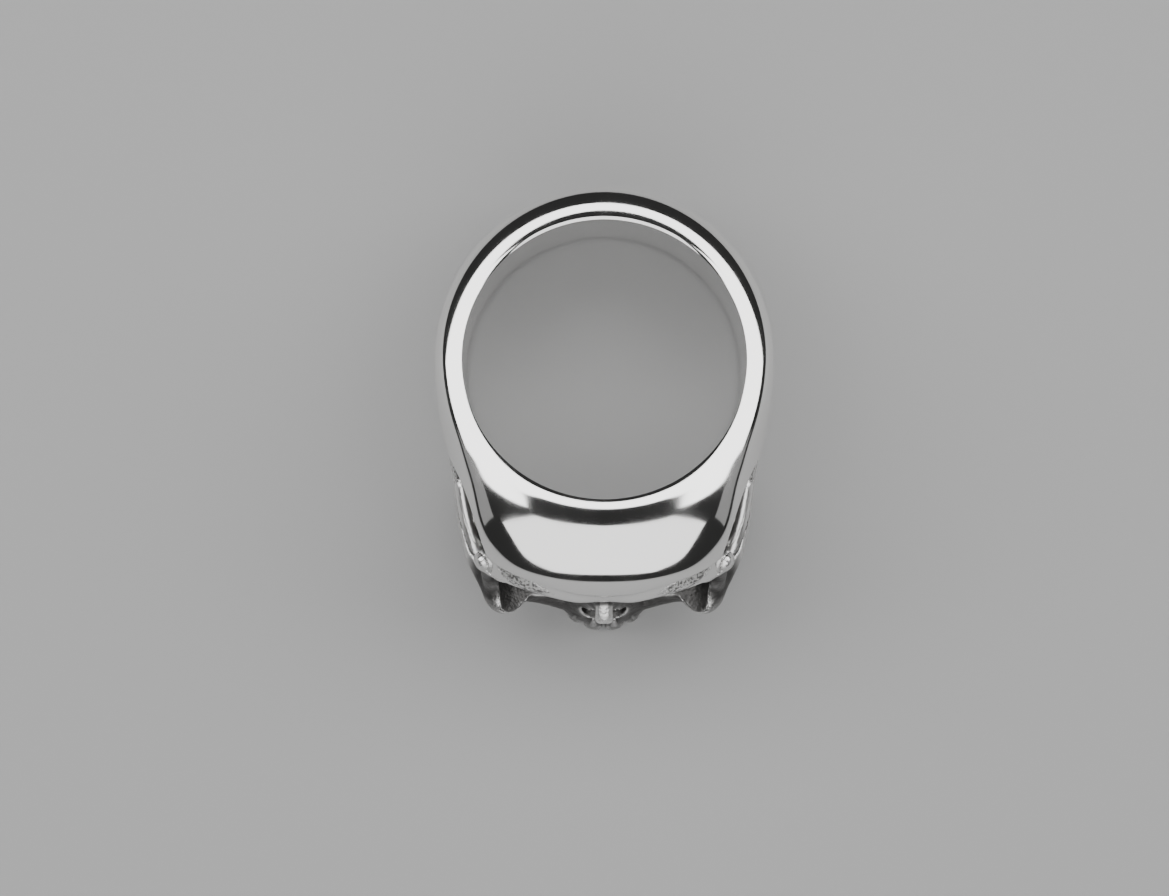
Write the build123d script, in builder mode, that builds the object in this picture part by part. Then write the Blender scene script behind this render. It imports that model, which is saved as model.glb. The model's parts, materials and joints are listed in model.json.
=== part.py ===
from build123d import *
from math import asin, atan2, cos, degrees, hypot, radians, sin
import os

# A skull ring in silver, cast in one piece, with the upper half of a skull and no lower jaw.
# Millimetres. The Z axis is the axis of the finger hole, with the top of the cranium up.
# The face looks along -Y and the back of the band is at +Y.
# The origin is on the axis, half way up the band's sides.

# Finger hole and band
hole_radius = 9.9
band_wall = 1.9
band_height = 14.6
rim_rise = 2.0
rim_crest = 1.0
rim_round = 1.2
edge_round = 0.45
side_tuck = 0.5
hole_chamfer = 0.3
blank_margin = 0.3

# Cranium
skull_depth = 5.2
crown_depth = 5.0
dome_rise = 0.5

# Brow
brow_drop = 5.7
brow_radius = 18.7
brow_tube = 1.05
brow_half_width = 7.6
brow_setback = 0.15

# Face
face_depth = 6.6
face_half_width = 8.7
face_setback = 1.4
cheek_undercut = 4.05
cheek_height = 5.0
cheek_slope = 1.6
undercut_turn = 48
jaw_half_width = 3.7
jaw_depth = 4.9
tooth_height = 2.1
tooth_width = 1.24
teeth_per_side = 5

base = -band_height / 2
rim = hole_radius + rim_crest
band_radius = hole_radius + band_wall
brow_reach = band_radius + skull_depth - brow_setback
face_reach = band_radius + face_depth
brow_z = band_height / 2 + rim_rise + dome_rise - brow_drop
face_height = brow_z - base

# Sections round one half of the ring, evenly turned from the middle of the face to the back.
# wall: wall thickness as a share of band_wall
# skull: reach past the band as a share of skull_depth
# crown: height of the rounded upper flank as a share of crown_depth
# dome: share of dome_rise
section_columns = ("wall", "skull", "crown", "dome")
section_rows = [
    (1.00, 0.94, 0.94, 1.00),
    (1.00, 0.93, 0.82, 0.95),
    (1.00, 0.90, 0.64, 0.77),
    (1.00, 0.75, 0.74, 0.42),
    (1.00, 0.38, 0.84, 0.13),
    (1.00, 0.16, 0.74, 0.00),
    (1.00, 0.06, 0.58, 0.00),
    (1.00, 0.01, 0.44, 0.00),
    (1.02, 0.00, 0.38, 0.00),
    (1.05, 0.00, 0.35, 0.00),
    (1.09, 0.00, 0.33, 0.00),
    (1.15, 0.00, 0.32, 0.00),
    (1.21, 0.00, 0.32, 0.00),
    (1.26, 0.00, 0.32, 0.00),
    (1.30, 0.00, 0.32, 0.00),
    (1.32, 0.00, 0.32, 0.00),
]
section_step = 180 / (len(section_rows) - 1)

# The muzzle between the eyes and the teeth, in level sections
# z: height over the base as a share of face_height
# width: half width as a share of jaw_half_width
# depth: depth as a share of jaw_depth
muzzle_columns = ("z", "width", "depth")
muzzle_rows = [
    (0.00, 0.93, 0.94),
    (0.18, 0.95, 0.96),
    (0.34, 0.93, 0.90),
    (0.52, 0.80, 0.78),
    (0.72, 0.52, 0.78),
    (0.95, 0.36, 0.60),
]

# Rounded forms on one half of the skull
# x: place as a share of face_half_width
# reach: distance from the finger hole's axis towards the face, as a share of face_reach
# z: height over the base as a share of face_height
# width, depth, height: half sizes as shares of face_half_width, face_depth and face_height
# pitch, lean, turn: degrees about the lines X, Y and Z
form_columns = ("x", "reach", "z", "width", "depth", "height", "pitch", "lean", "turn")
temple_hollow = (1.27, 0.595, 0.98, 0.215, 0.86, 0.40, 0, 0, -17)
cheek_pit = (1.14, 0.674, 0.78, 0.19, 0.39, 0.23, 0, 0, -25)
cheek_arch = (1.10, 0.63, 0.60, 0.085, 0.73, 0.10, 4, 0, -14)
cheek_bone = (0.80, 0.850, 0.51, 0.205, 0.33, 0.14, 0, 0, 0)
cheek_inner = (0.54, 0.835, 0.47, 0.27, 0.31, 0.11, 0, 0, 0)
cheek_root = (0.48, 0.865, 0.39, 0.19, 0.20, 0.11, 0, 25, 0)
socket_side = (0.90, 0.79, 0.76, 0.11, 0.19, 0.28, 0, 0, 0)
brow_corner = (0.90, 0.775, 0.97, 0.12, 0.16, 0.09, 0, 0, 0)
brow_lobe = (0.28, 0.87, 1.01, 0.26, 0.15, 0.10, 0, 0, 0)
nasal_bone = (0.00, 0.895, 0.78, 0.085, 0.20, 0.17, -25, 0, 0)
eye_socket = (0.51, 0.90, 0.735, 0.335, 0.55, 0.215, 0, 8, 14)
nose_hole = (0.085, 0.93, 0.50, 0.10, 0.40, 0.14, 0, 12, 0)
palate = (0.00, 0.79, 0.00, 0.29, 0.40, 0.13, 0, 0, 0)


def section_plane(angle):
    """The plane through the finger hole's axis, turned from the face towards +X."""
    a = radians(angle)
    return Plane(origin=(0, 0, 0), x_dir=(sin(a), -cos(a), 0), z_dir=(-cos(a), -sin(a), 0))


def rounded_form(row):
    """One rounded form at its place on the skull's +X half."""
    share = dict(zip(form_columns, row))
    half_sizes = (share["width"] * face_half_width, share["depth"] * face_depth,
                  share["height"] * face_height)
    with BuildPart() as form:
        Sphere(1)
        scale(by=half_sizes)
    place = Pos(share["x"] * face_half_width, -share["reach"] * face_reach,
                base + share["z"] * face_height)
    return place * Rot(share["pitch"], share["lean"], share["turn"]) * form.part


# The band and the skull's blank, one half
with BuildPart() as blank:
    for number, row in enumerate(section_rows):
        share = dict(zip(section_columns, row))
        angle = number * section_step
        reach = hole_radius + share["wall"] * band_wall + share["skull"] * skull_depth
        top = band_height / 2 + rim_rise * cos(radians(angle)) + share["dome"] * dome_rise
        crown = share["crown"] * crown_depth
        core = hole_radius - blank_margin
        with BuildSketch(section_plane(angle)):
            with BuildLine():
                lip = EllipticalCenterArc((rim, top - rim_round), rim - core, rim_round, 90, arc_size=90)
                wall = Line(lip @ 1, (core, base - blank_margin))
                foot = Line(wall @ 1, (reach - side_tuck - edge_round - blank_margin, base - blank_margin))
                edge = Line(foot @ 1, (reach - side_tuck, base + edge_round))
                flank = EllipticalCenterArc((rim, top - crown), reach - rim, crown, 0, arc_size=90)
                side = TangentArc(flank @ 0, edge @ 1, tangent=(0, -1))
            make_face()
    loft()

# The brow ridge, an arc across one half of the forehead
with BuildPart() as brow:
    with BuildSketch(Plane.YZ):
        with Locations((-brow_reach + brow_tube, brow_z)):
            Circle(brow_tube)
    revolve(axis=Axis((0, brow_radius - brow_reach, 0), (0, 0, 1)),
            revolution_arc=degrees(asin(brow_half_width / brow_radius)))

# What the face and the cheeks' undersides are set back by, one half
with BuildPart() as undercut:
    with BuildSketch(Plane.XZ):
        skull_reach = band_radius + skull_depth
        face_wall = skull_reach - face_setback
        cheek_wall = skull_reach - cheek_undercut
        cheek_z = base + cheek_height
        Polygon((cheek_wall, base - blank_margin), (cheek_wall, cheek_z - cheek_slope / 2),
                (face_wall, cheek_z + cheek_slope / 2), (face_wall, brow_z - brow_tube),
                (skull_reach, brow_z - brow_tube / 2), (2 * skull_reach, brow_z - brow_tube / 2),
                (2 * skull_reach, base - blank_margin), align=None)
    revolve(axis=Axis.Z, revolution_arc=undercut_turn)
undercut_half = Rot(0, 0, -90) * undercut.part

# The muzzle, one half
with BuildPart() as muzzle:
    for row in muzzle_rows:
        share = dict(zip(muzzle_columns, row))
        with BuildSketch(Plane.XY.offset(base + share["z"] * face_height)):
            with Locations((0, jaw_depth - face_reach)):
                Ellipse(share["width"] * jaw_half_width, share["depth"] * jaw_depth)
    loft()
    split(bisect_by=Plane.YZ, keep=Keep.TOP)

# The upper teeth of one half, one after the other along the jaw
teeth = []
tooth_radii = (0.54 * tooth_width, 0.50 * tooth_width, 0.70 * tooth_height)
row_width = jaw_half_width - tooth_radii[1]
row_depth = jaw_depth - tooth_radii[1]
turned = tooth_width / 2 / row_width
while len(teeth) < teeth_per_side:
    with BuildPart() as tooth:
        Sphere(1)
        scale(by=tooth_radii)
    x = row_width * sin(turned)
    y = jaw_depth - face_reach - row_depth * cos(turned)
    outward = degrees(atan2(row_depth * sin(turned), row_width * cos(turned)))
    teeth.append(Pos(x, y, base + tooth_height / 2) * Rot(0, 0, outward) * tooth.part)
    turned += tooth_width / hypot(row_width * cos(turned), row_depth * sin(turned))

side_hollows = [rounded_form(temple_hollow), rounded_form(cheek_pit), undercut_half]
bones = [rounded_form(row) for row in (cheek_arch, cheek_bone, cheek_inner, cheek_root, socket_side,
                                       brow_corner, brow_lobe, nasal_bone)]
face_hollows = [rounded_form(row) for row in (eye_socket, nose_hole, palate)]

# One half of the ring
with BuildPart() as half:
    add(blank.part)
    for hollow in side_hollows:
        add(hollow, mode=Mode.SUBTRACT)
    add(brow.part)
    add(muzzle.part)
    for bone in bones + teeth:
        add(bone)
    for hollow in face_hollows:
        add(hollow, mode=Mode.SUBTRACT)
    split(bisect_by=Plane.YZ, keep=Keep.TOP)
    split(bisect_by=Plane.XY.offset(base), keep=Keep.TOP)

# The whole ring, with the finger hole bored through it
with BuildPart() as skull_ring:
    add(half.part)
    mirror(about=Plane.YZ)
    upright = (Align.CENTER, Align.CENTER, Align.MIN)
    with Locations((0, 0, base)):
        Cylinder(hole_radius, 2 * band_height, align=upright, mode=Mode.SUBTRACT)
        Cone(hole_radius + hole_chamfer, hole_radius, hole_chamfer, align=upright, mode=Mode.SUBTRACT)

os.makedirs("parts", exist_ok=True)
skull_ring.part.label = "skull_ring"
export_step(skull_ring.part, "parts/skull_ring.step")
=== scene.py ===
import json
from math import atan2, cos, hypot, pi, radians, sin

import bpy
import numpy as np
from bpy.props import FloatProperty, FloatVectorProperty, PointerProperty
from bpy.types import Operator, Panel, PropertyGroup
from mathutils import Matrix, Vector
from mathutils.bvhtree import BVHTree


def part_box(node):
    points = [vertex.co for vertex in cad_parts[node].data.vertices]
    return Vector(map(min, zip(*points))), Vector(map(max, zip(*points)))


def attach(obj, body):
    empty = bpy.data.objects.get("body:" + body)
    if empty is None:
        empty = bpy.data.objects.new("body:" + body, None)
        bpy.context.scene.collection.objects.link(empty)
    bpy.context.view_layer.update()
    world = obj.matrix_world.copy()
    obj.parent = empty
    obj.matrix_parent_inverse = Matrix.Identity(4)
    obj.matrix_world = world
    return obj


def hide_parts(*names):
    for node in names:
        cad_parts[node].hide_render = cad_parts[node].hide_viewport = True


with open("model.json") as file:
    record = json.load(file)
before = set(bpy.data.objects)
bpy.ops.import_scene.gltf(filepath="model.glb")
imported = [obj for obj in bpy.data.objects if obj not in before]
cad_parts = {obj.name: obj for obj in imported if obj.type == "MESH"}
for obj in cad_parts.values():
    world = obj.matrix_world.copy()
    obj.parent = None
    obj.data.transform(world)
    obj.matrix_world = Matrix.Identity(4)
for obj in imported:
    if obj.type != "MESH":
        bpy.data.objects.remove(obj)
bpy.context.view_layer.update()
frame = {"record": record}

bl_info = {
    "name": "Skull Ring",
    "version": (1, 0, 0),
    "blender": (4, 5, 0),
    "location": "View3D > Sidebar > Skull Ring",
    "description": "Models and finishes a cast silver skull ring round its packed solid",
    "category": "Add Mesh",
}

# Everything is modelled in millimetres and made metres at the end.
MM = 0.001
# Points closer than this, in millimetres, are merged after the cuts.
WELD = 0.001
RING_LOW, RING_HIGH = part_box("skull_ring")
HOLE = next(m for m in frame["record"]["mounts"] if m["name"] == "finger_hole")


class RingSizes(PropertyGroup):
    """The ring's sizes and colours"""

    hole_radius: FloatProperty(
        name="Hole radius", description="Radius of the finger hole",
        default=HOLE["dims"]["r_mm"] * MM, unit="LENGTH")
    band_wall: FloatProperty(
        name="Band wall", description="Thickness of the band at its sides",
        default=RING_HIGH.x - HOLE["dims"]["r_mm"] * MM, unit="LENGTH")
    back_wall: FloatProperty(
        name="Back wall", description="Thickness of the band at its back",
        default=RING_HIGH.y - HOLE["dims"]["r_mm"] * MM, unit="LENGTH")
    band_height: FloatProperty(
        name="Band height", description="Height of the band's sides along the finger",
        default=-2 * RING_LOW.z, unit="LENGTH")
    rim_rise: FloatProperty(
        name="Rim rise", description="How much higher the rim stands at the face than at the sides",
        default=0.002, unit="LENGTH")
    dome_reach: FloatProperty(
        name="Dome reach", description="How far the cranium stands out past the band at the face",
        default=0.0049, unit="LENGTH")
    tooth_height: FloatProperty(
        name="Tooth height", description="Height of the upper teeth",
        default=0.0021, unit="LENGTH")
    polish: FloatProperty(
        name="Polish roughness", description="Roughness of the polished band and cranium",
        default=0.07, min=0.0, max=1.0)
    cast_roughness: FloatProperty(
        name="Cast roughness", description="Roughness of the bones and hollows",
        default=0.38, min=0.0, max=1.0)
    silver: FloatVectorProperty(
        name="Silver", description="Colour of the bare metal",
        default=(0.90, 0.895, 0.885), subtype="COLOR", size=3)
    # The tarnish colour also darkens the whole face below the brow, its bones that face up included.
    tarnish: FloatVectorProperty(
        name="Tarnish", description="Colour of the blackened hollows",
        default=(0.045, 0.043, 0.042), subtype="COLOR", size=3)


def sizes():
    """The sizes and colours as they are set in the scene."""
    return bpy.context.scene.skull_ring_sizes


def deselect_all():
    """Clears the selection."""
    bpy.ops.object.select_all(action="DESELECT")


def pick(piece):
    """Selects one object alone and makes it the active one."""
    deselect_all()
    piece.select_set(True)
    bpy.context.view_layer.objects.active = piece


def finish_modifier(piece, kind, **values):
    """Adds one modifier and applies it."""
    pick(piece)
    modifier = piece.modifiers.new(kind.title(), kind)
    for name, value in values.items():
        setattr(modifier, name, value)
    bpy.ops.object.modifier_apply(modifier=modifier.name)
    return piece


def apply_place(piece):
    """Takes a new primitive's place, turn and scale into its mesh."""
    pick(piece)
    bpy.ops.object.transform_apply(location=True, rotation=True, scale=True)
    return piece


def join(pieces, name):
    """Several pieces as one object."""
    deselect_all()
    for piece in pieces:
        piece.select_set(True)
    bpy.context.view_layer.objects.active = pieces[0]
    bpy.ops.object.join()
    pieces[0].name = name
    pieces[0].data.name = name
    return pieces[0]


def outward(piece):
    """Turns the faces of a closed piece outwards."""
    pick(piece)
    bpy.ops.object.mode_set(mode="EDIT")
    bpy.ops.mesh.select_all(action="SELECT")
    bpy.ops.mesh.normals_make_consistent(inside=False)
    bpy.ops.object.mode_set(mode="OBJECT")


def mirrored(piece):
    """A copy of a piece, mirrored to the skull's other side."""
    pick(piece)
    bpy.ops.object.duplicate()
    twin = bpy.context.object
    twin.data.transform(Matrix.Scale(-1, 4, (1, 0, 0)))
    outward(twin)
    return twin


def points_of(piece):
    """A piece's points, a row of x, y and z for each."""
    co = np.empty(len(piece.data.vertices) * 3)
    piece.data.vertices.foreach_get("co", co)
    return co.reshape(-1, 3)


def set_points(piece, co):
    """Moves a piece's points to the rows given."""
    piece.data.vertices.foreach_set("co", np.ascontiguousarray(co, dtype=np.float32).ravel())
    piece.data.update()


def weld(piece):
    """Merges points that the cuts left on one another and closes what stayed open."""
    pick(piece)
    bpy.ops.object.mode_set(mode="EDIT")
    bpy.ops.mesh.select_all(action="SELECT")
    bpy.ops.mesh.remove_doubles(threshold=WELD)
    bpy.ops.mesh.select_all(action="SELECT")
    bpy.ops.mesh.fill_holes(sides=0)
    bpy.ops.object.mode_set(mode="OBJECT")


def cut(piece, cutter):
    """Takes the cutter's shape out of a piece."""
    finish_modifier(piece, "BOOLEAN", operation="DIFFERENCE", object=cutter, solver="EXACT")
    bpy.data.objects.remove(cutter)


def fuse(piece, other):
    """Makes two pieces one closed surface."""
    finish_modifier(piece, "BOOLEAN", operation="UNION", object=other, solver="EXACT")
    bpy.data.objects.remove(other)


# Shares of the blank, every 12 degrees from the middle of the face to the back of the band
# wall: from the band's side wall (0) to its back wall (1)
# skull: reach past the band, as a share of the dome's reach
# crown: height of the rounded upper flank in millimetres
# dome: rise of the dome over the rim in millimetres
SECTION_COLUMNS = ("wall", "skull", "crown", "dome")
SECTIONS = [
    (0.00, 1.000, 4.7, 0.50),
    (0.00, 0.990, 4.1, 0.48),
    (0.00, 0.950, 3.2, 0.38),
    (0.00, 0.800, 3.7, 0.21),
    (0.00, 0.400, 4.2, 0.06),
    (0.00, 0.165, 3.7, 0.00),
    (0.00, 0.064, 2.9, 0.00),
    (0.00, 0.010, 2.2, 0.00),
    (0.05, 0.000, 1.9, 0.00),
    (0.14, 0.000, 1.8, 0.00),
    (0.27, 0.000, 1.7, 0.00),
    (0.45, 0.000, 1.7, 0.00),
    (0.64, 0.000, 1.7, 0.00),
    (0.81, 0.000, 1.7, 0.00),
    (0.93, 0.000, 1.7, 0.00),
    (1.00, 0.000, 1.7, 0.00),
]
SECTION_STEP = 12
# Degrees over which the sections run into one another, and the step in which curves are drawn
SECTION_BLEND = 3.5
CURVE_STEP = 0.5

# The brow ridge at some turns from the middle of the face in degrees, with its groove above it:
# how far the ridge stands out of the dome, its height and the groove's depth in millimetres
BROW_TURNS = (0, 3, 6.5, 12, 18, 24, 28, 31, 34.5, 40)
BROW_STAND = (0.08, 0.16, 0.32, 0.27, 0.34, 0.52, 0.72, 0.66, 0.00, 0.00)
BROW_Z = (3.95, 4.0, 4.1, 4.4, 4.5, 4.2, 3.7, 3.2, 2.8, 2.8)
GROOVE_DEPTH = (0.25, 0.25, 0.25, 0.35, 0.60, 0.75, 0.60, 0.30, 0.00, 0.00)
# Degrees over which the ridge's depths and its height are drawn smooth
BROW_BLEND = 1.2
BROW_Z_BLEND = 2.0
# Half breadth of the ridge and of the groove, how high the groove lies over the ridge, between
# which depths under the ridge the face falls back, and where a row of points follows it
BROW_BREADTH = 0.75
GROOVE_RISE = 1.5
UNDER_BROW = (0.1, 0.9)
UNDER_BROW_ROW = 1.1

# The face under the brow and the undersides of the cheeks, sunk into the dome: depths and heights
# in millimetres, places round the ring in degrees, and the slant in degrees for each millimetre
FACE_SINK = 1.9
FACE_EDGE = (30, 36)
FACE_FOOT = (0.8, 2.8)
CHEEK_SINK = 3.6
CHEEK_STEP = (1.0, 3.4)
CHEEK_TURN = 27
CHEEK_Z = 1.5
CHEEK_SLANT = 1.6
CHEEK_FADE = 17

# The rim's highest line: its distance from the hole in millimetres at some turns
RIM_TURNS = (0, 34, 60, 84, 180)
RIM_CREST = (1.2, 1.1, 0.6, 0.36, 0.36)
RIM_BLEND = 5.0
# The lip that falls from that line into the hole: its height and depth as shares of the distance
LIP_ROUND = 0.6
LIP_DEPTH = 1.3
# The rounding of the foot's outer edge, how far the side draws in down to it, and the chamfer of
# the hole's lower edge
EDGE_ROUND = 0.45
SIDE_TUCK = 0.5
HOLE_CHAMFER = 0.3
# Sections round the ring, and the points of each part of a section
TURN_COUNT = 240
PART_COUNTS = {"wall": 7, "lip": 7, "flank": 22, "edge": 4, "foot": 3}
# Rows of points down the side: to the brow, under the brow and on to the foot
SIDE_ROWS = (3, 8, 24)


def ease(low, high, value):
    """0 below low, 1 above high and a smooth step between."""
    t = np.clip((value - low) / (high - low), 0, 1)
    return t * t * (3 - 2 * t)


def spread_turns():
    """Turns round the ring in degrees, twice as close at the face as on average."""
    u = np.linspace(-1, 1, TURN_COUNT, endpoint=False)
    return 180 * (u - 0.5 * np.sin(pi * u) / pi)


def smooth_curve(turns, places, values, width):
    """Values over the turns, drawn smooth over a width in degrees."""
    fine = np.arange(-180, 180, CURVE_STEP)
    rough = np.interp(np.abs(fine), places, values)
    reach = np.arange(-3 * width, 3 * width + CURVE_STEP / 2, CURVE_STEP)
    weight = np.exp(-(reach / width) ** 2 / 2)
    steps = np.round(reach / CURVE_STEP).astype(int)
    soft = sum(w * np.roll(rough, s) for w, s in zip(weight, steps)) / weight.sum()
    return np.interp(turns, np.append(fine, 180), np.append(soft, soft[0]))


def column(values):
    """A row of values as a column."""
    return values[:, None]


def part(name, end=False):
    """Shares from 0 to 1, one for each point of a part of the sections."""
    return np.linspace(0, 1, PART_COUNTS[name], endpoint=end)[None, :]


def band_surface():
    """Radius and height of every point of the polished body, a row for each turn."""
    s = sizes()
    hole = s.hole_radius / MM
    side = hole + s.band_wall / MM
    half = s.band_height / MM / 2
    turns = spread_turns()
    places = [SECTION_STEP * i for i in range(len(SECTIONS))]
    table = {name: smooth_curve(turns, places, [row[i] for row in SECTIONS], SECTION_BLEND)
             for i, name in enumerate(SECTION_COLUMNS)}
    reach = side + table["wall"] * (s.back_wall - s.band_wall) / MM + table["skull"] * s.dome_reach / MM
    top = half + s.rim_rise / MM * np.cos(np.radians(turns)) + table["dome"]
    crown = table["crown"]
    base = -half
    crest = column(smooth_curve(turns, RIM_TURNS, RIM_CREST, RIM_BLEND))
    rim = hole + crest
    lip_from = np.arccos(-1 / LIP_DEPTH)
    lip_turn = lip_from + (pi / 2 - lip_from) * part("lip")
    lip_r = rim + LIP_DEPTH * crest * np.cos(lip_turn)
    lip_z = column(top) - LIP_ROUND * crest * (1 - np.sin(lip_turn))
    wall_z = base + HOLE_CHAMFER + part("wall") * (lip_z[:, :1] - base - HOLE_CHAMFER)
    flank_turn = pi / 2 * (1 - part("flank"))
    flank_r = rim + (column(reach) - rim) * np.cos(flank_turn)
    flank_z = column(top - crown) + column(crown) * np.sin(flank_turn)
    brow_z = smooth_curve(turns, BROW_TURNS, BROW_Z, BROW_Z_BLEND)
    steps = np.concatenate([np.linspace(a, a + 1, n, endpoint=False) for a, n in enumerate(SIDE_ROWS)])
    levels = (top - crown, brow_z, brow_z - UNDER_BROW_ROW, base + EDGE_ROUND + 0 * top)
    side_z = np.array([np.interp(steps, range(len(levels)), place) for place in zip(*levels)])
    down = (side_z[:, :1] - side_z) / (side_z[:, :1] - base - EDGE_ROUND)
    side_r = column(reach) - SIDE_TUCK * down ** 2
    edge_turn = pi / 2 * part("edge")
    edge_r = column(reach) - SIDE_TUCK - EDGE_ROUND * (1 - np.cos(edge_turn))
    edge_z = base + EDGE_ROUND - EDGE_ROUND * np.sin(edge_turn) + 0 * column(top)
    outer_r = np.hstack([flank_r, side_r, edge_r])
    outer_z = np.hstack([flank_z, side_z, edge_z])
    outer_r = shape_face(turns, outer_r, outer_z)
    foot_r = outer_r[:, -1:] + (hole + HOLE_CHAMFER - outer_r[:, -1:]) * part("foot", end=True)
    foot_z = base + 0 * foot_r
    wall_r = hole + 0 * wall_z
    radius = np.hstack([wall_r, lip_r, outer_r, foot_r])
    height = np.hstack([wall_z, lip_z, outer_z, foot_z])
    return turns, radius, height


def shape_face(turns, radius, height):
    """Raises the brow ridge out of the blank and sinks the face and the cheeks' undersides."""
    turn = column(np.abs(turns))
    stand = column(smooth_curve(turns, BROW_TURNS, BROW_STAND, BROW_BLEND))
    brow_z = column(smooth_curve(turns, BROW_TURNS, BROW_Z, BROW_Z_BLEND))
    off = height - brow_z
    ridge = np.exp(-(off / BROW_BREADTH) ** 2)
    depth = column(smooth_curve(turns, BROW_TURNS, GROOVE_DEPTH, BROW_BLEND))
    groove = depth * np.exp(-((off - GROOVE_RISE) / BROW_BREADTH) ** 2)
    below = ease(*UNDER_BROW, -off)
    face = 1 - ease(*FACE_EDGE, turn)
    slant = CHEEK_TURN + CHEEK_SLANT * np.clip(-CHEEK_Z - height, 0, None)
    low = ease(*CHEEK_STEP, -height) * (1 - ease(slant, slant + CHEEK_FADE, turn))
    upper = 1 - ease(*FACE_FOOT, -height)
    return radius + stand * ridge - groove - FACE_SINK * below * face * upper - CHEEK_SINK * low


def make_body():
    """The band and the cranium: a torus whose points are moved to the ring's own sections."""
    turns, radius, height = band_surface()
    rings, points = radius.shape
    deselect_all()
    bpy.ops.mesh.primitive_torus_add(major_segments=rings, minor_segments=points)
    body = bpy.context.object
    body.name = "silver_ring"
    angle = column(np.radians(turns))
    co = np.stack([radius * np.sin(angle), -radius * np.cos(angle), height], axis=-1)
    set_points(body, co.reshape(-1, 3))
    outward(body)
    return body


# Rounded forms of the skull's left half in millimetres
# x, reach towards the face, height, then the half sizes along the same three lines,
# then degrees of pitch, lean and turn
BONES = {
    "cheekbone": (7.0, 15.5, -1.5, 1.75, 2.1, 1.3, 0, -10, 0),
    "nasal spine": (0.0, 17.5, -3.05, 0.4, 0.75, 0.6, 0, 0, 0),
    "brow end": (7.2, 13.9, 3.3, 1.2, 1.7, 0.8, 0, 0, -20),
    "knob": (8.5, 13.9, 2.9, 0.65, 0.80, 1.2, 0, 0, -20),
}
# Bars of bone on the same half: a list of points, each x, reach, height and radius
BARS = {
    "nasal ridge": [
        (0.0, 15.9, 3.4, 0.62), (0.0, 16.2, 2.3, 0.58), (0.0, 16.6, 1.4, 0.5)],
    "socket floor": [
        (2.1, 16.2, -0.9, 0.55), (3.5, 15.9, -1.7, 0.5), (5.4, 15.9, -1.8, 0.55), (7.1, 16.3, -1.2, 0.7)],
    "cheek": [
        (1.8, 15.5, -1.4, 0.9), (3.8, 15.2, -2.1, 0.85), (5.6, 15.1, -2.1, 0.95), (7.2, 15.2, -1.3, 0.9)],
    "cheek foot": [
        (2.5, 16.2, -3.8, 1.1), (3.8, 15.9, -3.1, 1.05), (5.0, 15.7, -2.6, 1.0), (6.6, 15.6, -1.9, 1.0)],
    "socket side": [
        (7.4, 14.4, 3.2, 0.8), (8.0, 14.3, 2.2, 0.72), (8.05, 14.6, 0.8, 0.7), (7.8, 15.3, -0.5, 0.8)],
    "socket side inside": [
        (6.9, 14.1, 3.3, 0.9), (7.25, 13.8, 2.2, 0.9), (7.25, 13.9, 0.6, 0.9), (7.0, 14.6, -0.6, 0.9)],
    "socket roof": [
        (0.0, 15.8, 3.5, 0.6), (2.4, 15.6, 3.7, 0.5), (5.0, 15.1, 3.8, 0.5), (7.2, 14.4, 3.5, 0.6)],
    "arch": [
        (8.1, 15.2, -1.3, 0.9), (9.05, 13.5, -1.0, 0.8), (9.7, 11.3, -0.5, 0.7),
        (10.05, 9.0, 0.3, 0.6), (10.2, 7.3, 1.1, 0.5), (10.6, 6.1, 1.6, 0.42)],
    "arch root": [
        (9.7, 10.6, -0.9, 0.6), (10.0, 8.8, -0.3, 0.6), (10.35, 7.0, 0.5, 0.6), (10.6, 6.0, 1.1, 0.5)],
    "arch crest": [
        (8.2, 14.4, -0.8, 0.7), (9.1, 12.8, -0.4, 0.5), (9.7, 10.6, 0.2, 0.45), (10.05, 8.6, 0.9, 0.42)],
}
EGG_SEGMENTS = 24
BEAD_SEGMENTS = 14
BEADS_PER_BAR = 18
RING_POINTS = 40
# Turns a stacked form's height towards the face.
FORWARD = Matrix(((1, 0, 0, 0), (0, 0, -1, 0), (0, 1, 0, 0), (0, 0, 0, 1)))


def egg(x, reach, z, half_x, half_reach, half_z, pitch=0, lean=0, turn=0, segments=EGG_SEGMENTS):
    """A rounded form, placed and sized as the tables give it."""
    bpy.ops.mesh.primitive_uv_sphere_add(
        segments=segments, ring_count=segments // 2, radius=1, location=(x, -reach, z),
        rotation=(radians(pitch), radians(lean), radians(turn)), scale=(half_x, half_reach, half_z))
    return apply_place(bpy.context.object)


def bar(points):
    """A row of beads along a line of points, close enough to fuse into a bar."""
    points = np.array(points)
    place = np.linspace(0, len(points) - 1, BEADS_PER_BAR)
    rows = [[np.interp(p, range(len(points)), points[:, i]) for i in range(4)] for p in place]
    return [egg(x, reach, z, r, r, r, segments=BEAD_SEGMENTS) for x, reach, z, r in rows]


def stack(rows, upright, square):
    """A closed form of rings drawn along the height, or else along the line of sight.
    Each row: place along the line, the ring's centre, then its two half sizes. A square of 2
    makes ellipses, and more makes them squarer."""
    deselect_all()
    bpy.ops.mesh.primitive_circle_add(vertices=RING_POINTS, radius=1, fill_type="NGON")
    form = bpy.context.object
    co = points_of(form)
    length = (np.abs(co[:, :2]) ** square).sum(1) ** (1 / square)
    co[:, :2] /= column(length)
    set_points(form, co)
    bpy.ops.object.mode_set(mode="EDIT")
    bpy.ops.mesh.select_all(action="SELECT")
    for number, (place, across, along, half_across, half_along) in enumerate(rows):
        if number:
            before = rows[number - 1]
            bpy.ops.mesh.extrude_region_move(TRANSFORM_OT_translate={
                "value": (across - before[1], along - before[2], place - before[0])})
            size = (half_across / before[3], half_along / before[4], 1)
        else:
            bpy.ops.transform.translate(value=(across, along, place))
            size = (half_across, half_along, 1)
        bpy.ops.transform.resize(value=size, center_override=(across, along, place))
    bpy.ops.object.mode_set(mode="OBJECT")
    if not upright:
        form.data.transform(FORWARD)
    outward(form)
    return form


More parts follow.
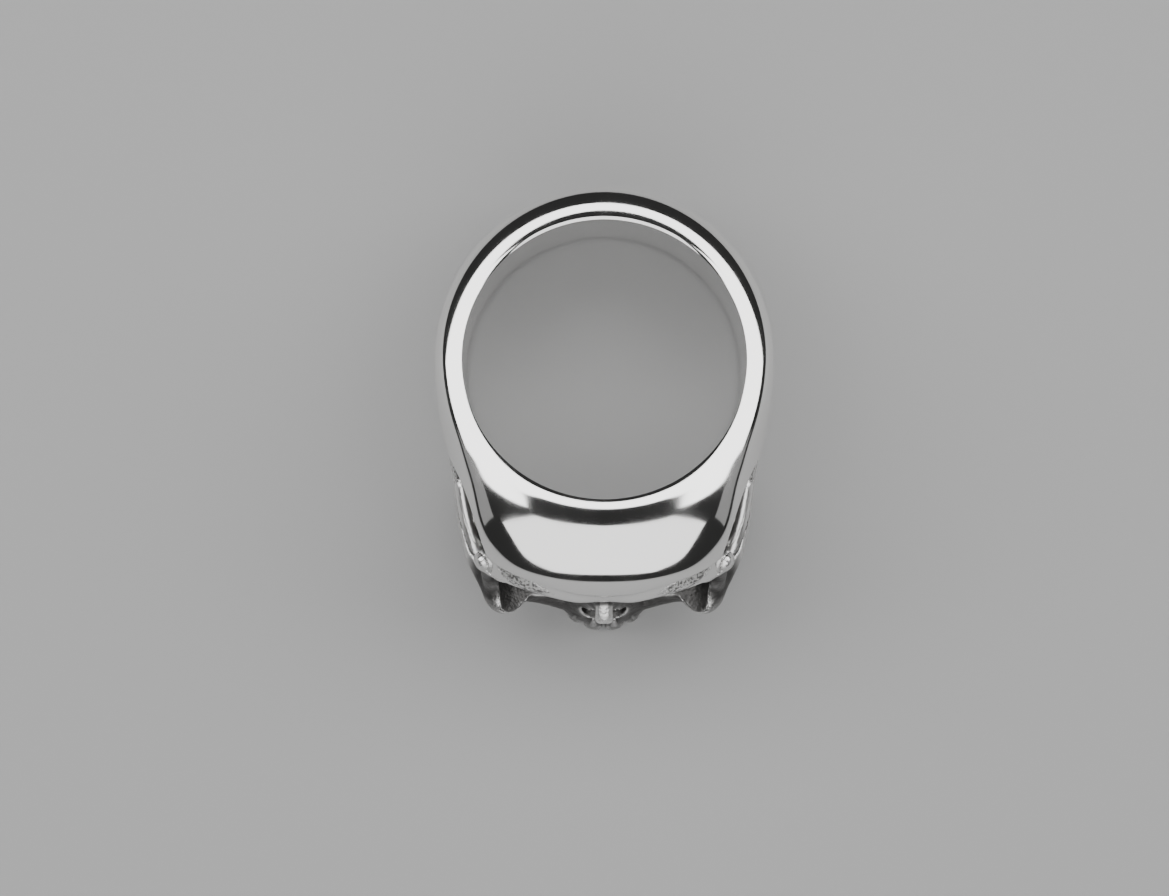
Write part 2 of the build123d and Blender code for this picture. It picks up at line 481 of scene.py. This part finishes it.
# Rings of three upright forms: height, x, y, half width, half depth
FACE_CORE = [
    (3.7, 0, -11.2, 7.2, 4.6), (3.0, 0, -11.2, 7.8, 4.75), (1.6, 0, -11.2, 8.1, 4.6),
    (-0.6, 0, -11.2, 8.1, 4.8), (-1.8, 0, -11.2, 7.7, 4.9), (-2.8, 0, -11.2, 6.6, 4.6),
    (-3.8, 0, -11.2, 4.8, 4.2),
]
MUZZLE = [
    (-7.6, 0, -14.5, 2.8, 2.9), (-6.4, 0, -14.5, 2.95, 3.05), (-5.6, 0, -14.5, 3.3, 3.4),
    (-4.8, 0, -14.4, 3.75, 3.8), (-3.6, 0, -14.3, 3.65, 3.7), (-2.4, 0, -14.2, 3.3, 3.4),
    (-0.8, 0, -14.1, 2.6, 3.0),
]
BRIDGE = [
    (4.2, 0, -15.0, 1.3, 1.15), (3.3, 0, -15.0, 1.15, 1.35), (2.3, 0, -15.0, 1.25, 1.85),
    (1.2, 0, -15.0, 1.6, 2.15), (0.3, 0, -15.0, 1.9, 2.5), (-0.2, 0, -15.0, 2.05, 2.6),
    (-1.2, 0, -15.0, 2.35, 2.65), (-2.4, 0, -15.0, 2.55, 2.6), (-3.6, 0, -15.0, 2.7, 2.6),
]
# Rings of the nasal bones: reach, x, height, half width, half height
NASAL = [
    (15.8, 0, 2.3, 0.60, 0.60), (16.8, 0, 2.05, 0.60, 0.60), (17.5, 0, 1.75, 0.62, 0.58),
    (18.05, 0, 1.4, 0.68, 0.54), (18.3, 0, 1.3, 0.55, 0.40),
]
# Rings of an eye socket: reach, x, height, half width, half height
SOCKET = [
    (18.8, 5.0, 0.95, 3.25, 2.75), (16.6, 4.8, 1.0, 2.95, 2.4), (15.4, 4.65, 1.05, 2.85, 2.3),
    (14.4, 4.5, 1.05, 2.7, 2.15), (13.4, 4.3, 1.1, 2.4, 1.95), (12.7, 4.1, 1.1, 1.9, 1.55),
    (12.2, 4.0, 1.1, 1.2, 1.0), (12.0, 4.0, 1.1, 0.5, 0.4),
]
# The lower and the upper hollow of the nose: x, reach and height, then the half sizes
NOSE_EGGS = [(0.78, 17.6, -2.1, 0.85, 2.2, 0.95), (0.42, 17.3, -0.95, 0.62, 2.1, 1.2)]
# How square the rings of each stacked form are
CORE_SQUARE = 2.4
MUZZLE_SQUARE = 2.5
BRIDGE_SQUARE = 1.9
NASAL_SQUARE = 3.2
SOCKET_SQUARE = 2.6
# Grain of the meshes that fuse forms, in millimetres, and how often each is smoothed then
BONE_GRAIN = 0.16
HOLLOW_GRAIN = 0.12
FACE_GRAIN = 0.08
BONE_SMOOTHING = 12
HOLLOW_SMOOTHING = 10
FACE_SMOOTHING = 3
# Share of the face's triangles that is kept
KEPT_SHARE = 0.42


def make_bones():
    """The face in clay: rounded forms and bars of the left half, mirrored."""
    deselect_all()
    pieces = [egg(*row) for row in BONES.values()]
    for points in BARS.values():
        pieces += bar(points)
    half = join(pieces, "bones")
    twin = mirrored(half)
    core = stack(FACE_CORE, upright=True, square=CORE_SQUARE)
    bridge = stack(BRIDGE, upright=True, square=BRIDGE_SQUARE)
    nasal = stack(NASAL, upright=False, square=NASAL_SQUARE)
    muzzle = stack(MUZZLE, upright=True, square=MUZZLE_SQUARE)
    return join([half, twin, core, muzzle, bridge, nasal], "bones")


def make_sockets(grow=0.0):
    """What the eye sockets take out, wider by what it grows."""
    rows = [(place, x, z, w + grow, h + grow) for place, x, z, w, h in SOCKET]
    rows[-1] = (rows[-1][0] - grow,) + rows[-1][1:]
    one = stack(rows, upright=False, square=SOCKET_SQUARE)
    return join([one, mirrored(one)], "sockets")


def make_nose(grow=0.0):
    """What the nose takes out, wider by what it grows."""
    eggs = [egg(x, reach, z, a + grow, b + grow, c + grow) for x, reach, z, a, b, c in NOSE_EGGS]
    half = join(eggs, "nose")
    nose = join([half, mirrored(half)], "nose")
    return finish_modifier(nose, "REMESH", mode="VOXEL", voxel_size=HOLLOW_GRAIN)


# The teeth of one half, from the middle: their widths, and the depth of all
TOOTH_WIDTHS = (1.42, 1.24, 1.32, 1.24, 1.18)
TOOTH_DEPTH = 1.3
# How far a tooth reaches up into the jaw, and how much of its place in the row it fills
TOOTH_ROOT = 0.5
TOOTH_FILL = 0.96
# How much a tooth narrows at its neck and thins at its sides, its depth at the ends and what the
# belly adds to it, as shares, and how far under its middle the belly lies, as a share of its height
NECK = 0.3
SIDE_THIN = 0.9
END_DEPTH = 0.7
BELLY = 0.3
BELLY_DROP = 0.2
# Cuts of the block that a tooth starts from, and the rounds that smooth it
TOOTH_CUTS = 3
TOOTH_ROUNDS = 2
# The root's swelling over a tooth: its place from the tooth's middle, half sizes and pitch
ROOT = (0, -0.02, 1.7, 0.44, 0.5, 1.3, -8)
# The dental arch: half width, half depth and the reach of its centre
JAW = (3.35, 3.5, 14.5)


def tooth(width, height, depth):
    """One upper tooth: a block narrowed at its neck, with rounded edges and a flat tip."""
    bpy.ops.mesh.primitive_cube_add(size=1, scale=(width, depth, height))
    block = apply_place(bpy.context.object)
    bpy.ops.object.mode_set(mode="EDIT")
    bpy.ops.mesh.select_all(action="SELECT")
    bpy.ops.mesh.subdivide(number_cuts=TOOTH_CUTS)
    bpy.ops.object.mode_set(mode="OBJECT")
    co = points_of(block)
    up = co[:, 2] / height + 0.5
    across = co[:, 0] / width
    belly = BELLY * np.sin(pi * np.clip(up + BELLY_DROP, 0, 1))
    co[:, 0] *= 1 - NECK * up ** 2
    co[:, 1] *= (END_DEPTH + belly) * (1 - SIDE_THIN * across ** 2)
    set_points(block, co)
    return finish_modifier(block, "SUBSURF", levels=TOOTH_ROUNDS, render_levels=TOOTH_ROUNDS)


def make_teeth():
    """The ten upper teeth, set along the dental arch."""
    base = -sizes().band_height / MM / 2
    height = sizes().tooth_height / MM
    half_width, half_depth, centre = JAW
    pieces = []
    turned = TOOTH_WIDTHS[0] / 2 / half_width
    for number, width in enumerate(TOOTH_WIDTHS):
        one = tooth(TOOTH_FILL * width, height + TOOTH_ROOT, TOOTH_DEPTH)
        outward_turn = atan2(half_depth * sin(turned), half_width * cos(turned))
        place = Vector((half_width * sin(turned), -(centre + half_depth * cos(turned)),
                        base + (height + TOOTH_ROOT) / 2))
        one = join([one, egg(*ROOT)], "tooth")
        one.data.transform(Matrix.Translation(place) @ Matrix.Rotation(outward_turn, 4, "Z"))
        pieces.append(one)
        following = TOOTH_WIDTHS[min(number + 1, len(TOOTH_WIDTHS) - 1)]
        turned += (width + following) / 2 / hypot(half_width * cos(turned), half_depth * sin(turned))
    half = join(pieces, "teeth")
    return join([half, mirrored(half)], "teeth")


# The bore that keeps the face's bones clear of the finger hole's wall, in millimetres, and the
# fineness of large round cutters
BORE_CLEAR = 0.5
BORE_LENGTH = 40
CUTTER_SEGMENTS = 96


def make_face():
    """The face bones as one cast surface, with the eye sockets and the nose hollowed."""
    bones = make_bones()
    deselect_all()
    bpy.ops.mesh.primitive_cylinder_add(
        vertices=CUTTER_SEGMENTS, radius=sizes().hole_radius / MM + BORE_CLEAR, depth=BORE_LENGTH)
    bore = bpy.context.object
    finish_modifier(bones, "REMESH", mode="VOXEL", voxel_size=BONE_GRAIN)
    finish_modifier(bones, "SMOOTH", factor=0.5, iterations=BONE_SMOOTHING)
    cut(bones, bore)
    cut(bones, make_sockets())
    cut(bones, make_nose())
    face = join([bones, make_teeth()], "face")
    finish_modifier(face, "REMESH", mode="VOXEL", voxel_size=FACE_GRAIN)
    finish_modifier(face, "SMOOTH", factor=0.5, iterations=FACE_SMOOTHING)
    return finish_modifier(face, "DECIMATE", ratio=KEPT_SHARE)


# Hollows on the left side of the skull: the rows of the temple and of the pit behind the cheek
SIDE_HOLLOWS = [
    (10.3, 10.9, 3.8, 2.3, 5.7, 4.2, -18, 0, -14),
    (9.7, 12.5, 2.2, 1.8, 2.5, 3.4, 0, 0, -25),
]


def make_temples():
    """What the temples take out of the body's sides."""
    half = join([egg(*row, segments=CUTTER_SEGMENTS) for row in SIDE_HOLLOWS], "temples")
    temples = join([half, mirrored(half)], "temples")
    finish_modifier(temples, "REMESH", mode="VOXEL", voxel_size=HOLLOW_GRAIN)
    return finish_modifier(temples, "SMOOTH", factor=0.5, iterations=HOLLOW_SMOOTHING)


# Steps of smoothing after which the hollows are measured, and the depth in millimetres
# that counts as 1 then
HOLLOW_SCALES = {12: 0.1, 80: 0.4}
# Distance from the middle of the cheek arch's crest over which its brightness fades out, and how
# far a point has to face up for it
CREST_SPREAD = (0.45, 0.7)
CREST_UP = (-0.1, 0.4)
# Reach of the face's front, from which the depth of its hollows is measured
FACE_REACH = 16.2
# Between which values the finish changes, in millimetres: off the polished body's surface, below
# the face's front and off the hole's wall
CAST_OFF = (0.01, 0.06)
PITTED_IN = (0.02, 0.2)
TEMPLE_IN = (0.03, 0.4)
HOLLOW_SUNK = (0.9, 3.0)
HOLLOW_OFF_HOLE = (0.02, 0.3)
# The same in degrees from the middle of the face
PITTED_TURN = (33, 52)
HOLLOW_TURN = (31, 47)
FACE_TURN = (31, 40)
# The same in heights, and the reach and half width of the nasal bones' bright front
HOLLOW_TOP = (3.3, 4.0)
FACE_TOP = (2.6, 3.4)
TOOTH_TOP = (-5.0, -4.2)
NASAL_FOOT = (0.6, 1.1)
NASAL_FRONT = (16.9, 17.3)
NASAL_SIDE = (0.6, 0.95)
# How dark the temples and the face are, how much lighter the teeth, and between which darknesses
# a point becomes rough
TEMPLE_DARK = 0.85
FACE_DARK = 0.65
TOOTH_LIGHTER = 0.12
DARK_ROUGH = (0.1, 0.5)


def sunk_wall(co):
    """How far points lie outside the finger hole's wall and above the foot, in millimetres."""
    s = sizes()
    off_hole = np.hypot(co[:, 0], co[:, 1]) - s.hole_radius / MM
    off_foot = co[:, 2] + s.band_height / MM / 2
    return np.minimum(off_hole - HOLE_CHAMFER, off_foot)


def off_line(co, line):
    """The least distance of points, mirrored to the left half, from a line of bar points."""
    here = np.stack([np.abs(co[:, 0]), -co[:, 1], co[:, 2]], -1)
    least = np.full(len(co), np.inf)
    for start, end in zip(line, line[1:]):
        start, along = np.array(start[:3]), np.subtract(end[:3], start[:3])
        share = np.clip((here - start) @ along / (along @ along), 0, 1)
        least = np.minimum(least, np.linalg.norm(here - start - column(share) * along, axis=1))
    return least


def hollowness(mesh, co, normals):
    """How far each point lies below its softened surroundings, as shares of the scales' depths."""
    count = len(co)
    ends = np.empty(len(mesh.edges) * 2, dtype=np.int64)
    mesh.edges.foreach_get("vertices", ends)
    first, second = ends.reshape(-1, 2).T
    neighbours = column(np.bincount(ends, minlength=count))
    soft = co
    hollow = np.zeros(count)
    for step in range(1, max(HOLLOW_SCALES) + 1):
        total = np.stack([np.bincount(first, soft[second, i], count)
                          + np.bincount(second, soft[first, i], count) for i in range(3)], -1)
        soft = 0.5 * soft + 0.5 * total / neighbours
        if step in HOLLOW_SCALES:
            hollow += ((soft - co) * normals).sum(1) / HOLLOW_SCALES[step]
    return hollow


def mark_finish(ring, body_tree):
    """Writes how hollow, rough, pitted and dark each point is, for the material."""
    mesh = ring.data
    co = points_of(ring)
    normals = np.empty(len(co) * 3)
    mesh.vertices.foreach_get("normal", normals)
    normals = normals.reshape(-1, 3)
    nearest = [body_tree.find_nearest(Vector(p)) for p in co]
    outside = np.array([(Vector(p) - near[0]).dot(near[1]) for p, near in zip(co, nearest)])
    side, ahead, up = np.abs(co[:, 0]), -co[:, 1], co[:, 2]
    turn = np.degrees(np.arctan2(side, ahead))
    crest = (1 - ease(*CREST_SPREAD, off_line(co, BARS["arch crest"]))) * ease(*CREST_UP, normals[:, 2])
    sunk = ease(*HOLLOW_SUNK, FACE_REACH - np.hypot(side, ahead))
    darkened = (sunk * (1 - ease(*HOLLOW_TOP, up)) * (1 - ease(*HOLLOW_TURN, turn))
            * ease(*HOLLOW_OFF_HOLE, sunk_wall(co)))
    darkened = np.maximum(darkened, TEMPLE_DARK * ease(*TEMPLE_IN, -outside))
    # The face under the brow is darkened whole, cheekbones that face up included. The teeth are darkened
    # a little less, and the nasal bones' front and the arch's crest are left out of this darkening.
    face = (1 - ease(*FACE_TURN, turn)) * (1 - ease(*FACE_TOP, up)) * ease(*CAST_OFF, outside)
    nasal = ease(*NASAL_FRONT, ahead) * (1 - ease(*NASAL_SIDE, side)) * ease(*NASAL_FOOT, up)
    tooth = 1 - ease(*TOOTH_TOP, up)
    darkened = np.maximum(darkened, (FACE_DARK - TOOTH_LIGHTER * tooth) * face) * (1 - nasal) * (1 - crest)
    marks = {
        "hollow": hollowness(mesh, co, normals) - crest,
        "rough": np.maximum(ease(*CAST_OFF, np.abs(outside)), ease(*DARK_ROUGH, darkened)),
        "pitted": ease(*PITTED_IN, -outside) * ease(*PITTED_TURN, turn) * (1 - crest),
        "darkened": darkened,
        "crest": crest,
    }
    for name, values in marks.items():
        mark = mesh.attributes.new(name, "FLOAT", "POINT")
        mark.data.foreach_set("value", values.astype(np.float32))


class Nodes:
    """Short ways to add and link a material's nodes."""

    def __init__(self, name):
        self.material = bpy.data.materials.new(name)
        self.material.use_nodes = True
        self.tree = self.material.node_tree
        self.shader = self.tree.nodes["Principled BSDF"]

    def link(self, value, socket):
        """Links another node's output to a socket, or sets it to a plain value."""
        if isinstance(value, bpy.types.NodeSocket):
            self.tree.links.new(value, socket)
        else:
            socket.default_value = value

    def attribute(self, name):
        """One of the marks that the mesh's points carry."""
        node = self.tree.nodes.new("ShaderNodeAttribute")
        node.attribute_name = name
        return node.outputs["Fac"]

    def place(self):
        """The point's place on the object in metres."""
        return self.tree.nodes.new("ShaderNodeTexCoord").outputs["Object"]

    def noise(self, grain, detail, roughness):
        """Noise whose grain is given in millimetres."""
        node = self.tree.nodes.new("ShaderNodeTexNoise")
        node.inputs["Scale"].default_value = 1 / (grain * MM)
        node.inputs["Detail"].default_value = detail
        node.inputs["Roughness"].default_value = roughness
        self.tree.links.new(self.place(), node.inputs["Vector"])
        return node.outputs["Fac"]

    def range(self, value, low, high, to_low=0.0, to_high=1.0):
        """A smooth step from one number to another while the value goes from low to high."""
        node = self.tree.nodes.new("ShaderNodeMapRange")
        node.interpolation_type = "SMOOTHSTEP"
        ends = {"From Min": low, "From Max": high, "To Min": to_low, "To Max": to_high}
        for name, number in ends.items():
            node.inputs[name].default_value = number
        self.link(value, node.inputs["Value"])
        return node.outputs["Result"]

    def math(self, operation, *values, clamp=False):
        """One sum of plain values or of other nodes' outputs."""
        node = self.tree.nodes.new("ShaderNodeMath")
        node.operation = operation
        node.use_clamp = clamp
        for value, socket in zip(values, node.inputs):
            self.link(value, socket)
        return node.outputs["Value"]

    def mix(self, factor, first, second):
        """A colour between two."""
        node = self.tree.nodes.new("ShaderNodeMix")
        node.data_type = "RGBA"
        self.link(factor, node.inputs["Factor"])
        self.link(first, node.inputs["A"])
        self.link(second, node.inputs["B"])
        return node.outputs["Result"]

    def bump(self, height, distance, before=None):
        """A bump of a height in millimetres, over another bump if there is one."""
        node = self.tree.nodes.new("ShaderNodeBump")
        node.inputs["Distance"].default_value = distance * MM
        self.link(height, node.inputs["Height"])
        if before is not None:
            self.link(before, node.inputs["Normal"])
        return node.outputs["Normal"]


# The pitted patches over the brow's ends: turn from the middle of the face and its spread in
# radians, height over the middle of the band and its spread in millimetres
PATCH_TURN = radians(21)
PATCH_SPREAD = radians(7.5)
PATCH_Z = 5.0
PATCH_HEIGHT = 0.6
# How much the cast grain frays a patch, what then counts as the patch, and its strength
PATCH_FRAY = 0.8
PATCH_EDGE = (0.7, 1.0)
PATCH_STRENGTH = 0.8
# The patches lie further ahead of the hole's axis than this, so none shows inside the hole.
PATCH_AHEAD = 12.0


def brow_patch(n):
    """1 in the middle of the two pitted patches over the brow's ends, falling to 0 round them."""
    split = n.tree.nodes.new("ShaderNodeSeparateXYZ")
    n.link(n.place(), split.inputs["Vector"])
    ahead = n.math("MULTIPLY", split.outputs["Y"], -1.0)
    turn = n.math("ARCTAN2", n.math("ABSOLUTE", split.outputs["X"]), ahead)
    across = n.math("MULTIPLY_ADD", turn, 1 / PATCH_SPREAD, -PATCH_TURN / PATCH_SPREAD)
    up = n.math("MULTIPLY_ADD", split.outputs["Z"], 1 / (PATCH_HEIGHT * MM), -PATCH_Z / PATCH_HEIGHT)
    away = n.math("ADD", n.math("MULTIPLY", across, across), n.math("MULTIPLY", up, up))
    near = n.math("EXPONENT", n.math("MULTIPLY", away, -1.0))
    return n.math("MULTIPLY", near, n.math("GREATER_THAN", ahead, PATCH_AHEAD * MM))


# Noises: grain in millimetres, detail and roughness
GRAIN = (0.35, 4, 0.65)
SPECK = (0.2, 3, 0.6)
SMUDGE = (2.5, 3, 0.5)
FINE_BUMP = (0.16, 3, 0.6)
LUMP_BUMP = (0.7, 2, 0.5)
# Heights of the two bumps in millimetres
FINE_HEIGHT = 0.05
LUMP_HEIGHT = 0.14
# Ranges: from, to and, where that isn't 0 and 1, what they become
WORN = (-0.9, -0.15, 0.8, 0.0)
STAINED = (0.42, 1.15, 0.16, 1.0)
PIT = (0.47, 0.56)
DARK = (0.1, 0.75)
SMUDGED = (0.35, 0.7)
# The grain's share in the mottle, what pits add to it and what it is elsewhere, then how matt the
# arch's crest is and how much duller a smudge is than the polish
PITTED_MOTTLE = (0.9, 0.8)
CREST_MATT = 0.8
SMUDGE_DULL = 1.5


def silver_material():
    """Polished silver, cast rough on the bones, blackened where they are hollow and darkened over the
    whole face below the brow.
    """
    s = sizes()
    n = Nodes("silver")
    hollow = n.attribute("hollow")
    rough = n.attribute("rough")
    pitted = n.attribute("pitted")
    grain = n.noise(*GRAIN)
    patch = n.math("MULTIPLY_ADD", grain, PATCH_FRAY, brow_patch(n))
    patch = n.range(patch, *PATCH_EDGE, 0.0, PATCH_STRENGTH)
    bare = n.math("SUBTRACT", 1.0, n.range(hollow, *WORN))
    cast = n.math("MAXIMUM", patch, n.math("MULTIPLY", rough, bare))

    mottle = n.math("MULTIPLY", grain, n.math("MULTIPLY_ADD", pitted, *PITTED_MOTTLE))
    stain = n.range(n.math("ADD", mottle, hollow), *STAINED)
    stain = n.math("MULTIPLY", n.math("MULTIPLY", stain, rough), bare)
    pits = n.math("MULTIPLY", n.math("MAXIMUM", patch, pitted), n.range(n.noise(*SPECK), *PIT))
    # The darkening mark blackens the hollows and the temples and darkens the whole face below the brow.
    darkened = n.math("MULTIPLY", n.range(n.attribute("darkened"), *DARK), bare)
    black = n.math("MAXIMUM", n.math("MAXIMUM", stain, pits), darkened, clamp=True)
    n.link(n.mix(black, (*s.silver, 1), (*s.tarnish, 1)), n.shader.inputs["Base Color"])
    n.shader.inputs["Metallic"].default_value = 1.0

    smudge = n.range(n.noise(*SMUDGE), *SMUDGED, s.polish, s.polish * SMUDGE_DULL)
    matt = n.math("MAXIMUM", cast, n.math("MULTIPLY", n.attribute("crest"), CREST_MATT))
    dull = n.math("MAXIMUM", smudge, n.math("MULTIPLY", matt, s.cast_roughness))
    n.link(dull, n.shader.inputs["Roughness"])

    lumps = n.bump(n.math("MULTIPLY", n.noise(*LUMP_BUMP), cast), LUMP_HEIGHT)
    fine = n.bump(n.math("MULTIPLY", n.noise(*FINE_BUMP), cast), FINE_HEIGHT, lumps)
    n.link(fine, n.shader.inputs["Normal"])
    return n.material


# How much wider the hollows in the body are than those in the face's bones, in millimetres
HOLLOW_ROOM = 0.3
# The block that trims the face level with the band's foot, and how much it takes off the foot
TRIM_WIDTH = 60
TRIM_DEPTH = 15
TRIM_SKIM = 0.002
# The hollow between the teeth: x, reach and half sizes
PALATE = (0, 14.3, 2.3, 2.7, 1.3)
PALATE_SEGMENTS = 48
# Edges sharper than this stay sharp.
SMOOTH_ANGLE = radians(38)


def make_ring():
    """The finished ring: the body with its hollows, the face fused on and the finish marked."""
    body = make_body()
    body_tree = BVHTree.FromPolygons(
        [v.co.copy() for v in body.data.vertices], [tuple(p.vertices) for p in body.data.polygons])
    cut(body, make_temples())
    cut(body, make_sockets(grow=HOLLOW_ROOM))
    cut(body, make_nose(grow=HOLLOW_ROOM))
    fuse(body, make_face())
    low = -sizes().band_height / MM / 2
    deselect_all()
    bpy.ops.mesh.primitive_cube_add(
        size=1, scale=(TRIM_WIDTH, TRIM_WIDTH, TRIM_DEPTH),
        location=(0, 0, low - TRIM_DEPTH / 2 + TRIM_SKIM))
    cut(body, apply_place(bpy.context.object))
    cut(body, egg(*PALATE[:2], low, *PALATE[2:], segments=PALATE_SEGMENTS))
    weld(body)
    mark_finish(body, body_tree)
    pick(body)
    bpy.ops.object.shade_smooth_by_angle(angle=SMOOTH_ANGLE)
    body.data.transform(Matrix.Scale(MM, 4))
    body.data.materials.clear()
    body.data.materials.append(silver_material())
    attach(body, "root")
    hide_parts("skull_ring")


# The camera looks down on the near rim's centre and leans this much towards the face. It stands
# this far from the rim in millimetres, the pixels are the photograph's, and what is nearer than
# the last number in metres isn't drawn.
CAMERA_LEAN = radians(3.38)
CAMERA_REACH = 312.4
PIXELS_PER_MM = 14.43
IMAGE_SIZE = (1169, 896)
RIM_CENTRE_PIXEL = (604.4, 358.1)
SENSOR_WIDTH = 36.0
CLIP_START = 0.01


def make_camera():
    """The camera at the photograph's viewing angle."""
    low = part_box("skull_ring")[0].z / MM
    rim = Vector((0, 0, -low))
    view = Vector((0, sin(CAMERA_LEAN), -cos(CAMERA_LEAN)))
    down = Vector((0, -cos(CAMERA_LEAN), -sin(CAMERA_LEAN)))
    right = Vector((1, 0, 0))
    off_x = (RIM_CENTRE_PIXEL[0] - IMAGE_SIZE[0] / 2) / PIXELS_PER_MM
    off_y = (RIM_CENTRE_PIXEL[1] - IMAGE_SIZE[1] / 2) / PIXELS_PER_MM
    place = rim - right * off_x - down * off_y - view * CAMERA_REACH
    data = bpy.data.cameras.new("camera")
    data.sensor_width = SENSOR_WIDTH
    data.lens = SENSOR_WIDTH * PIXELS_PER_MM * CAMERA_REACH / IMAGE_SIZE[0]
    data.clip_start = CLIP_START
    camera = bpy.data.objects.new("camera", data)
    bpy.context.scene.collection.objects.link(camera)
    turn = Matrix((right, -down, -view)).transposed()
    camera.matrix_world = Matrix.Translation(place * MM) @ turn.to_4x4()
    bpy.context.scene.camera = camera


# Softboxes hung level over the ring: brightness, then the outline of the +X half in metres.
# An outline that doesn't meet the middle, at x 0, is hung once on each side.
SOFTBOX_HEIGHT = 0.35
SOFTBOXES = {
    "front": (1.9, [(0, -0.063), (0.07, -0.052), (0.12, -0.035), (0.35, -0.175), (0.35, -1.4)]),
    "back": (3.4, [(0, 0.12), (0.07, 0.105), (0.11, 0.065), (0.13, 0), (1.05, -0.10), (1.05, 0.32)]),
    "side": (0.3, [(0.5, -0.06), (3.0, -0.3), (3.0, -1.3), (0.5, -0.2)]),
}

# The floor and the faint light all round
FLOOR_SIZE = 3
FLOOR_COLOUR = (0.32, 0.32, 0.32, 1)
FLOOR_ROUGHNESS = 0.6
ROOM_COLOUR = (0.5, 0.5, 0.5, 1)
ROOM_LIGHT = 0.06


def make_softbox(name, brightness, points):
    """A level panel of light that only the camera doesn't see."""
    deselect_all()
    bpy.ops.mesh.primitive_circle_add(vertices=len(points), radius=1, fill_type="NGON")
    panel = bpy.context.object
    panel.name = "softbox_" + name
    set_points(panel, np.array([(x, y, SOFTBOX_HEIGHT) for x, y in points]))
    n = Nodes(panel.name)
    n.shader.inputs["Base Color"].default_value = (0, 0, 0, 1)
    n.shader.inputs["Emission Color"].default_value = (1, 1, 1, 1)
    n.shader.inputs["Emission Strength"].default_value = brightness
    panel.data.materials.append(n.material)
    panel.visible_camera = False


def make_floor():
    """The plain pale floor under the ring's foot."""
    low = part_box("skull_ring")[0].z
    deselect_all()
    bpy.ops.mesh.primitive_plane_add(size=FLOOR_SIZE, location=(0, 0, low))
    floor = bpy.context.object
    floor.name = "floor"
    n = Nodes("floor")
    n.shader.inputs["Base Color"].default_value = FLOOR_COLOUR
    n.shader.inputs["Roughness"].default_value = FLOOR_ROUGHNESS
    floor.data.materials.append(n.material)


def make_lights():
    """The faint light all round and the softboxes over the ring."""
    world = bpy.context.scene.world or bpy.data.worlds.new("world")
    bpy.context.scene.world = world
    world.use_nodes = True
    room = world.node_tree.nodes["Background"]
    room.inputs["Color"].default_value = ROOM_COLOUR
    room.inputs["Strength"].default_value = ROOM_LIGHT
    for name, (brightness, outline) in SOFTBOXES.items():
        other_half = [(-x, y) for x, y in reversed(outline) if x > 0]
        if len(other_half) < len(outline):
            make_softbox(name, brightness, outline + other_half)
        else:
            make_softbox(name + "_left", brightness, outline)
            make_softbox(name + "_right", brightness, other_half)


class SKULL_OT_ring(Operator):
    """Model the silver ring with its skull and give it its finish"""

    bl_idname = "skull.ring"
    bl_label = "Skull Ring"

    def execute(self, context):
        make_ring()
        return {"FINISHED"}


class SKULL_OT_stage(Operator):
    """Lay the pale floor, hang the softboxes and place the camera"""

    bl_idname = "skull.stage"
    bl_label = "Floor, Lights and Camera"

    def execute(self, context):
        make_floor()
        make_lights()
        make_camera()
        return {"FINISHED"}


class SKULL_PT_sidebar(Panel):
    """The ring's operators and its sizes and colours"""

    bl_idname = "SKULL_PT_sidebar"
    bl_label = "Skull Ring"
    bl_space_type = "VIEW_3D"
    bl_region_type = "UI"
    bl_category = "Skull Ring"

    def draw(self, context):
        for operator in OPERATORS:
            self.layout.operator(operator.bl_idname)
        for name in RingSizes.__annotations__:
            self.layout.prop(context.scene.skull_ring_sizes, name)


OPERATORS = (SKULL_OT_ring, SKULL_OT_stage)
CLASSES = (RingSizes, *OPERATORS, SKULL_PT_sidebar)


def register():
    for one in CLASSES:
        bpy.utils.register_class(one)
    bpy.types.Scene.skull_ring_sizes = PointerProperty(type=RingSizes)


def unregister():
    del bpy.types.Scene.skull_ring_sizes
    for one in reversed(CLASSES):
        bpy.utils.unregister_class(one)


def main():
    register()
    bpy.ops.skull.ring()
    bpy.ops.skull.stage()


if __name__ == "__main__":
    main()
